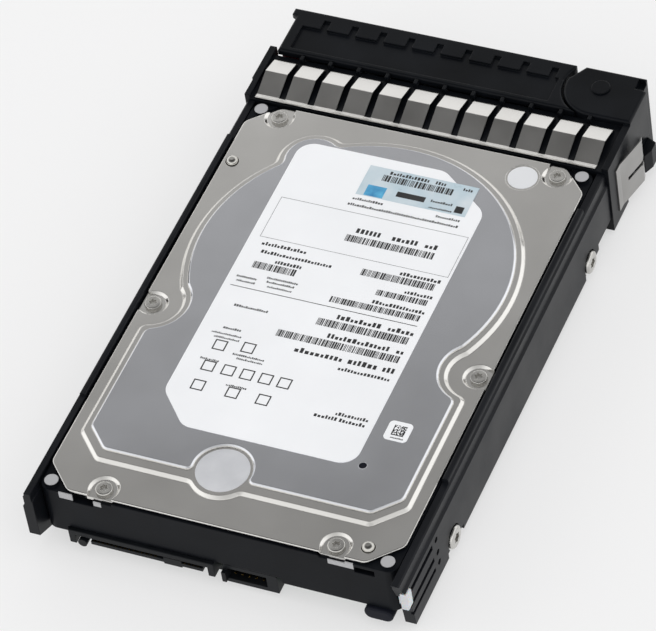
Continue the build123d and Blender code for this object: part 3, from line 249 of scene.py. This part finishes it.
# ---------------------------------------------------------------- circuit board
# A green laminate under the casting, parts side up against a foam sheet. Its lower side shows the
# copper lines under the solder mask, tinned solder points and a few printed outlines.
BOARD_UNDER = 1.2
INK_RISE = 0.03
INK_SINK = 0.01  # how far print and solder reach into the surface that they lie on
mask_finish = new_surface("mask_finish", (0.006, 0.075, 0.035), (0.01, 0.11, 0.05), (0.18, 0.28),
                          grain=0.5, depth=0.006, mottle=10)
tree = mask_finish.node_tree
lines = tree.nodes.new("ShaderNodeTexBrick")
lines.offset = 0.37
lines.inputs["Scale"].default_value = 1 / (9.0 * MM)
lines.inputs["Mortar Size"].default_value = 0.035
lines.inputs["Color1"].default_value = (0.007, 0.085, 0.04, 1)
lines.inputs["Color2"].default_value = (0.01, 0.12, 0.055, 1)
lines.inputs["Mortar"].default_value = (0.03, 0.22, 0.09, 1)
tree.links.new(tree.nodes["Texture Coordinate"].outputs["Object"], lines.inputs["Vector"])
tree.links.new(lines.outputs["Color"], tree.nodes["Principled BSDF"].inputs["Base Color"])
chip_epoxy = new_surface("chip_epoxy", (0.01, 0.01, 0.011), (0.018, 0.018, 0.019), (0.5, 0.62),
                         grain=0.2, depth=0.01, mottle=3, edge=0.1)
grey_foam = new_surface("grey_foam", (0.04, 0.04, 0.042), (0.07, 0.07, 0.072), (0.85, 0.95),
                        grain=0.5, depth=0.15, mottle=4)
coat(mask_finish, "circuit_board")
coat(chip_epoxy, "board_chips")
coat(grey_foam, "board_insulator")


def flat_solid(shape, outline, low, high, hole=None):
    """Adds a thin closed plate to a mesh: an outline in plan (mm), with an optional inner outline."""
    rings = [outline] if hole is None else [outline, hole]
    levels = [[[shape.verts.new((x * MM, y * MM, z * MM)) for x, y in ring] for ring in rings]
              for z in (low, high)]
    for number, ring in enumerate(rings):
        count = len(ring)
        lower, upper = levels[0][number], levels[1][number]
        for i in range(count):
            j = (i + 1) % count
            side = [lower[i], lower[j], upper[j], upper[i]]
            shape.faces.new(side if number == 0 else side[::-1])
    if hole is None:
        shape.faces.new(levels[1][0])
        shape.faces.new(levels[0][0][::-1])
        return
    count = len(outline)
    for i in range(count):
        j = (i + 1) % count
        for lower_side, (outer, inner) in ((True, levels[0]), (False, levels[1])):
            face = [outer[i], outer[j], inner[j], inner[i]]
            shape.faces.new(face[::-1] if lower_side else face)


def bar(shape, x, y, low, high):
    """Adds a thin rectangular plate between two values of x and of y."""
    flat_solid(shape, [(x[0], y[0]), (x[1], y[0]), (x[1], y[1]), (x[0], y[1])], low, high)


def round_outline(centre, radius, sides=24):
    """Points round a circle."""
    turns = [2 * pi * i / sides for i in range(sides)]
    return [(centre[0] + radius * cos(turn), centre[1] + radius * sin(turn)) for turn in turns]


def make_piece(name, shape, material, body):
    """Turns a mesh into a named piece that rides on a body."""
    mesh = bpy.data.meshes.new(name)
    shape.to_mesh(mesh)
    shape.free()
    mesh.materials.append(material)
    piece = bpy.data.objects.new(name, mesh)
    bpy.context.scene.collection.objects.link(piece)
    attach(piece, body)
    return piece


solder_tin = new_surface("solder_tin", (0.55, 0.55, 0.55), (0.72, 0.72, 0.71), (0.2, 0.32), metal=1.0,
                         grain=0.2, depth=0.01, mottle=1.5)
BALL_PITCH = 1.7
dots = Random(11)
shape = bmesh.new()
point_rows = [((-41.0 + 1.6 * i, 6.0 + 1.9 * row), 0.4) for i in range(22) for row in range(2)]
point_rows += [((2.8 + 2.0 * i, 6.4 + 2.0 * row), 0.55) for i in range(5) for row in range(2)]
for corner, columns, lines_up in (((-16, 34), 9, 9), ((7, 62), 6, 6), ((6, 36), 6, 5), ((-33, 32), 4, 3)):
    point_rows += [((corner[0] + BALL_PITCH * i, corner[1] + BALL_PITCH * j), 0.3)
                   for i in range(columns) for j in range(lines_up)]
point_rows += [((dots.uniform(-38, 38), dots.uniform(16, 74)), 0.25) for _ in range(90)]
for centre_xy, radius in point_rows:
    flat_solid(shape, round_outline(centre_xy, radius, 10), BOARD_UNDER - INK_RISE, BOARD_UNDER + INK_SINK)
make_piece("solder_points", shape, solder_tin, "carrier")

white_ink = new_surface("white_ink", (0.66, 0.68, 0.64), (0.75, 0.77, 0.73), (0.5, 0.6),
                        grain=0.2, depth=0.004)
SILK_LINE = 0.2
CORNERS = ((-1, -1), (1, -1), (1, 1), (-1, 1))
shape = bmesh.new()
for middle, size in (((-8, 42), (16, 16)), ((11, 40), (10, 13)), ((12, 66), (11, 11)), ((-30, 34), (9, 6)),
                     ((28, 30), (7, 7)), ((26, 54), (9, 4)), ((-24, 76), (12, 5)), ((30, 78), (5, 9))):
    half_x, half_y = size[0] / 2, size[1] / 2
    outer = [(middle[0] + a * half_x, middle[1] + b * half_y) for a, b in CORNERS]
    inner = [(middle[0] + a * (half_x - SILK_LINE), middle[1] + b * (half_y - SILK_LINE))
             for a, b in CORNERS]
    flat_solid(shape, outer, BOARD_UNDER - INK_RISE - INK_SINK, BOARD_UNDER + INK_SINK, inner)
make_piece("board_outlines", shape, white_ink, "carrier")


# ---------------------------------------------------------------- connectors
# Black moulded shells hold gold flashed contacts: a data and power connector, and a small service
# header beside it with ten pins.
gold_flash = new_surface("gold_flash", (0.72, 0.45, 0.13), (0.85, 0.58, 0.2), (0.15, 0.25), metal=1.0,
                         grain=0.15, depth=0.003, mottle=1.5)
coat(gold_flash, "connector_contacts", "header_pins")


# ---------------------------------------------------------------- top cover
# One sheet of bright rolled steel, deep drawn into two low steps, lies on a rubber gasket and is
# held by six screws. The rim keeps a warmer satin grain and the raised panel is a little cooler.
PANEL_FROM = 25.7
PLUG_AT = (30.2, 29.3)
cover_steel = new_surface("cover_steel", (0.7, 0.688, 0.662), (0.76, 0.748, 0.722), (0.13, 0.18), metal=1.0,
                          grain=0.22, stretch=(1, 5, 1), depth=0.0022, mottle=26, edge=0.3)
tree = cover_steel.node_tree
height = tree.nodes.new("ShaderNodeSeparateXYZ")
tree.links.new(tree.nodes["Texture Coordinate"].outputs["Object"], height.inputs["Vector"])
cooler = tree.nodes.new("ShaderNodeMix")
cooler.data_type = "RGBA"
cooler.blend_type = "MULTIPLY"
cooler.inputs["B"].default_value = (0.94, 0.97, 1.05, 1)
on_panel = within(tree, height.outputs["Z"], PANEL_FROM * MM, (PANEL_FROM + 5) * MM)
tree.links.new(on_panel, cooler.inputs["Factor"])
tree.links.new(tree.nodes["tone"].outputs["Color"], cooler.inputs["A"])
tree.links.new(cooler.outputs["Result"], tree.nodes["Principled BSDF"].inputs["Base Color"])
coat(cover_steel, "top_cover")

# a rubber plug at the bottom of the small hole in the raised panel
shape = bmesh.new()
flat_solid(shape, round_outline(PLUG_AT, 1.05), 25.74, 25.85)
make_piece("cover_plug", shape, soft_rubber, "carrier")


# ---------------------------------------------------------------- labels
# Coated paper labels are stuck on the cover, and a satin foil disc seals its test port. The main
# label carries black print: rows of blocks in place of words, bar codes, rules and empty squares.
coated_paper = new_surface("coated_paper", (0.84, 0.85, 0.87), (0.88, 0.89, 0.91), (0.42, 0.52),
                           grain=0.3, depth=0.004, mottle=20)
pale_blue = new_surface("pale_blue", (0.42, 0.55, 0.62), (0.62, 0.68, 0.72), (0.25, 0.35),
                        grain=0.3, depth=0.004, mottle=9)
satin_foil = new_surface("satin_foil", (0.72, 0.73, 0.76), (0.8, 0.81, 0.84), (0.42, 0.5), metal=0.6,
                         grain=0.3, depth=0.006, mottle=6)
grey_paper = new_surface("grey_paper", (0.68, 0.69, 0.71), (0.72, 0.73, 0.75), (0.42, 0.52),
                         grain=0.3, depth=0.004, mottle=20)
coat(coated_paper, "cover_label", "code_sticker")
coat(grey_paper, "round_sticker")
coat(pale_blue, "overlay_sticker")
coat(satin_foil, "foil_seal")
black_ink = new_surface("black_ink", (0.008, 0.008, 0.009), (0.02, 0.02, 0.021), (0.4, 0.5),
                        grain=0.2, depth=0.003)

LABEL_TOP = 26.2
OVERLAY_TOP = 26.3
press = Random(5)
LABEL_INK = (LABEL_TOP - INK_SINK, LABEL_TOP + INK_RISE)
OVERLAY_INK = (OVERLAY_TOP - INK_SINK, OVERLAY_TOP + INK_RISE)


def word_blocks(shape, x, y, tall, level, gaps=()):
    """A line of solid blocks of uneven height: it stands for print and forms no letters."""
    at = x[1]
    while at - 0.6 * tall > x[0]:
        wide = tall * press.choice((0.34, 0.42, 0.5))
        if any(low < at - wide / 2 < high for low, high in gaps):
            at -= 0.3 * tall
            continue
        low = y - tall / 2
        bar(shape, (at - wide, at), (low, low + tall * press.choice((0.5, 0.65, 0.8))), *level)
        at -= wide + 0.22 * tall


def bar_code(shape, x, y, level, module=0.17):
    """Upright bars of one to three modules between two values of x."""
    at = x[0]
    while at < x[1] - 3 * module:
        wide = module * press.choice((1, 1, 2, 3))
        bar(shape, (at, at + wide), y, *level)
        at += wide + module * press.choice((1, 1, 1, 2))


RULE = 0.09
FRAME_X = (-27.9, 27.2)
FRAME_Y = (97.3, 112.6)
shape = bmesh.new()
for low, high in ((FRAME_Y[0], FRAME_Y[0] + RULE), (FRAME_Y[1] - RULE, FRAME_Y[1])):
    bar(shape, FRAME_X, (low, high), *LABEL_INK)
for low, high in ((FRAME_X[0], FRAME_X[0] + RULE), (FRAME_X[1] - RULE, FRAME_X[1])):
    bar(shape, (low, high), (FRAME_Y[0] + RULE, FRAME_Y[1] - RULE), *LABEL_INK)
bar(shape, (-28.6, 25.8), (78.42, 78.62), *LABEL_INK)
TEXT_LINES = (
    ((-9.6, 0.0), 117.8, 1.1), ((15.2, 22.6), 117.7, 1.1), ((-9.8, 22.9), 115.5, 1.1),
    ((-26.6, -13.3), 95.3, 1.5), ((-25.7, -4.7), 92.4, 1.4), ((-20.8, -12.4), 89.7, 1.4),
    ((-20.2, -11.0), 83.7, 0.85), ((-19.9, -11.5), 82.3, 0.85), ((-18.9, -11.6), 80.7, 0.85),
    ((-28.6, -22.5), 82.2, 0.85), ((-28.0, -22.4), 80.7, 0.85),
    ((13.4, 25.9), 95.3, 1.5), ((17.1, 25.9), 89.4, 1.5), ((10.4, 25.9), 83.7, 1.5),
    ((-25.1, -14.9), 72.1, 1.0), ((-25.0, -19.2), 63.8, 1.0), ((-27.1, -18.2), 61.6, 0.8),
    ((-26.0, -18.2), 60.2, 0.8), ((-18.6, -9.0), 55.6, 0.8), ((-17.0, -9.0), 54.4, 0.8),
    ((-26.2, -20.6), 52.0, 0.8), ((-16.0, -9.6), 45.0, 0.8), ((10.4, 25.8), 58.9, 1.5),
)
for x, y, tall in TEXT_LINES:
    word_blocks(shape, x, y, tall, LABEL_INK)
LARGE_LINES = (
    ((-4.0, 20.4), 106.8, 2.1, ((14.5, 17.0), (3.8, 6.6))),
    ((2.5, 25.9), 75.9, 2.0, ((16.6, 18.0),)),
    ((2.8, 25.8), 69.0, 2.0, ((21.6, 23.0),)),
    ((-4.0, 25.9), 62.05, 2.2, ((20.6, 21.8), (11.0, 12.4))),
    ((10.5, 25.6), 42.1, 1.5, ((17.6, 18.4),)),
    ((16.1, 25.8), 44.0, 1.4, ()),
)
for x, y, tall, gaps in LARGE_LINES:
    word_blocks(shape, x, y, tall, LABEL_INK, gaps)
for x, y in (((-5.1, 21.2), (102.2, 104.6)), ((-25.6, -12.7), (86.0, 88.4)), ((3.9, 25.7), (91.6, 94.0)),
             ((10.6, 25.9), (86.0, 88.0)), ((-0.5, 25.7), (80.2, 82.3)), ((-0.8, 25.9), (71.6, 74.1)),
             ((-9.6, 25.7), (64.8, 67.2))):
    bar_code(shape, x, y, LABEL_INK)
make_piece("label_print", shape, black_ink, "carrier")

# empty squares, all alike, in rows near the label's rear left corner
BOX_PLACES = (
    (-22.6, 42.7), (-12.6, 42.7), (-3.8, 42.7), (-22.6, 49.7), (-16.8, 49.7), (-11.4, 49.7),
    (-6.0, 49.7), (-0.6, 49.7), (-22.6, 57.4), (-14.8, 58.6),
)
BOX_HALF = 1.8
BOX_LINE = 0.35


def square(middle, half):
    """The corners of a square round a point."""
    return [(middle[0] + a * half, middle[1] + b * half) for a, b in CORNERS]


shape = bmesh.new()
for place in BOX_PLACES:
    flat_solid(shape, square(place, BOX_HALF), *LABEL_INK, square(place, BOX_HALF - BOX_LINE))
make_piece("label_boxes", shape, black_ink, "carrier")

# print on the pale blue sticker: a bar code, blocks for print, a dark field and a plain square
shape = bmesh.new()
bar_code(shape, (-3.7, 17.9), (125.8, 128.1), OVERLAY_INK, 0.2)
word_blocks(shape, (-3.4, 14.1), 129.3, 1.4, OVERLAY_INK, ((9.0, 11.0),))
word_blocks(shape, (18.8, 22.0), 129.0, 1.2, OVERLAY_INK)
word_blocks(shape, (12.0, 18.5), 122.6, 1.1, OVERLAY_INK)
word_blocks(shape, (12.1, 19.2), 120.2, 0.8, OVERLAY_INK)
flat_solid(shape, [(2.3, 121.3), (10.6, 121.3), (10.6, 123.2), (2.3, 123.2)], *OVERLAY_INK)
bar(shape, (19.8, 22.2), (120.1, 122.5), *OVERLAY_INK)
make_piece("sticker_print", shape, black_ink, "carrier")
blue_ink = new_surface("blue_ink", (0.03, 0.2, 0.42), (0.1, 0.42, 0.66), (0.3, 0.4),
                       grain=0.3, depth=0.004, mottle=3)
shape = bmesh.new()
bar(shape, (-6.5, -1.0), (119.5, 123.5), *OVERLAY_INK)
make_piece("sticker_field", shape, blue_ink, "carrier")

# a small square code on its own sticker, with a line of blocks beside it
CODE_AT = (33.2, 41.2)
CELL = 0.27
shape = bmesh.new()
for row in range(13):
    for column in range(13):
        if row == 0 or column == 0 or press.random() < 0.46:
            x0, y0 = CODE_AT[0] + CELL * column, CODE_AT[1] + CELL * row
            bar(shape, (x0, x0 + 0.98 * CELL), (y0, y0 + 0.98 * CELL), *LABEL_INK)
word_blocks(shape, (33.0, 37.0), 40.4, 0.6, LABEL_INK)
make_piece("code_print", shape, black_ink, "carrier")


# ---------------------------------------------------------------- rails and light pipe
# Two glass-filled mouldings screwed to the drive's sides guide the carrier in its bay. A clear rod
# in the right-hand rail carries light from the backplane to the front; its ends are frosted.
rail_moulding = new_surface("rail_moulding", (0.0045, 0.005, 0.0065), (0.008, 0.009, 0.0115), (0.3, 0.42),
                            grain=0.5, depth=0.02, mottle=16, edge=0.3, shine=0.14)
clear_rod = new_surface("clear_rod", (0.5, 0.53, 0.55), (0.62, 0.65, 0.67), (0.25, 0.4),
                        grain=0.4, depth=0.01, mottle=3, edge=0.2)
rod_shader = clear_rod.node_tree.nodes["Principled BSDF"]
rod_shader.inputs["Subsurface Weight"].default_value = 0.3
rod_shader.inputs["Subsurface Scale"].default_value = 0.002
coat(rail_moulding, "left_rail", "right_rail")
coat(clear_rod, "light_pipe")


# ---------------------------------------------------------------- bezel and shielding springs
# The front moulding closes the carrier. A comb of stainless spring fingers on its deck and one
# leaf on its right wall touch the neighbouring metalwork to shield the bay.
bezel_moulding = new_surface("bezel_moulding", (0.0025, 0.003, 0.004), (0.005, 0.006, 0.008), (0.28, 0.4),
                             grain=0.5, depth=0.02, mottle=16, edge=0.35, shine=0.12)
finger_steel = new_surface("finger_steel", (0.6, 0.59, 0.57), (0.68, 0.67, 0.65), (0.3, 0.36), metal=1.0,
                           grain=0.18, stretch=(6, 1, 1), depth=0.002, mottle=12)
coat(bezel_moulding, "bezel")
leaf_steel = new_surface("leaf_steel", (0.34, 0.335, 0.325), (0.4, 0.395, 0.385), (0.3, 0.38), metal=1.0,
                         grain=0.18, stretch=(1, 1, 6), depth=0.002, mottle=12)
coat(finger_steel, "finger_strip")
coat(leaf_steel, "side_spring")


# ---------------------------------------------------------------- lever, pin and release button
# The ejector lever is a black moulding that turns on a moulded rivet, with a wire spring round it.
# A dark red button at its free end frees it, pushed back by a small coil spring.
button_moulding = new_surface("button_moulding", (0.1, 0.009, 0.016), (0.15, 0.014, 0.024), (0.34, 0.44),
                              grain=0.4, depth=0.012, mottle=8, edge=0.3)
drawn_wire = new_surface("drawn_wire", (0.42, 0.42, 0.42), (0.55, 0.55, 0.54), (0.2, 0.3), metal=1.0,
                         grain=0.15, depth=0.003, mottle=2)
coat(bezel_moulding, "lever", "lever_pin")
coat(button_moulding, "release_button")
coat(drawn_wire, "lever_spring", "button_spring")


# ---------------------------------------------------------------- floor, light and camera
# A pale studio floor under a bright sky band that darkens overhead, with one broad soft lamp.
floor_shape = bmesh.new()
flat_solid(floor_shape, round_outline((0, 90), 6000, 64), -20.0, -0.02)
floor_mesh = bpy.data.meshes.new("floor")
floor_shape.to_mesh(floor_mesh)
floor_shape.free()
floor = bpy.data.objects.new("floor", floor_mesh)
bpy.context.scene.collection.objects.link(floor)
pale_floor = new_surface("pale_floor", (0.35, 0.35, 0.352), (0.36, 0.36, 0.362), (0.85, 0.95),
                         grain=4, depth=0.01, mottle=300, shine=0.1)
glow = pale_floor.node_tree.nodes["Principled BSDF"].inputs
glow["Emission Color"].default_value = (1, 1, 1, 1)
glow["Emission Strength"].default_value = 0.54
floor_mesh.materials.append(pale_floor)

studio = bpy.data.worlds.new("studio")
studio.use_nodes = True
bpy.context.scene.world = studio
tree = studio.node_tree
sky_axes = tree.nodes.new("ShaderNodeSeparateXYZ")
tree.links.new(tree.nodes.new("ShaderNodeTexCoord").outputs["Generated"], sky_axes.inputs["Vector"])
sky = tree.nodes.new("ShaderNodeValToRGB")
SKY_STEPS = ((0.0, 1.15), (0.45, 1.1), (0.6, 0.85), (0.74, 0.3), (0.88, 0.12), (1.0, 0.07))
while len(sky.color_ramp.elements) < len(SKY_STEPS):
    sky.color_ramp.elements.new(0.5)
for step, (position, level) in zip(sky.color_ramp.elements, SKY_STEPS):
    step.position = position
    step.color = (level, level, level, 1)
tree.links.new(sky_axes.outputs["Z"], sky.inputs["Fac"])
tree.links.new(sky.outputs["Color"], tree.nodes["Background"].inputs["Color"])
tree.nodes["Background"].inputs["Strength"].default_value = 1.15

lamp = bpy.data.objects.new("soft_lamp", bpy.data.lights.new("soft_lamp", "SUN"))
lamp.data.energy = 1.3
lamp.data.angle = radians(70)
lamp.rotation_euler = Vector((0.25, -0.2, 1.0)).to_track_quat("Z", "Y").to_euler()
lamp.visible_glossy = False
bpy.context.scene.collection.objects.link(lamp)

camera = bpy.data.objects.new("camera", bpy.data.cameras.new("camera"))
camera.data.sensor_width = 36
camera.data.lens = 271.2
camera.data.clip_end = 20
camera.location = (0.4487, -0.7057, 0.9895)
look = Vector((-0.0109, 0.0967, 0.0)) - camera.location
ROLL = -9.96
camera.rotation_euler = (look.to_track_quat("-Z", "Y") @ Quaternion((0, 0, 1), radians(ROLL))).to_euler()
bpy.context.scene.collection.objects.link(camera)
bpy.context.scene.camera = camera
bpy.context.scene.view_settings.view_transform = "Standard"
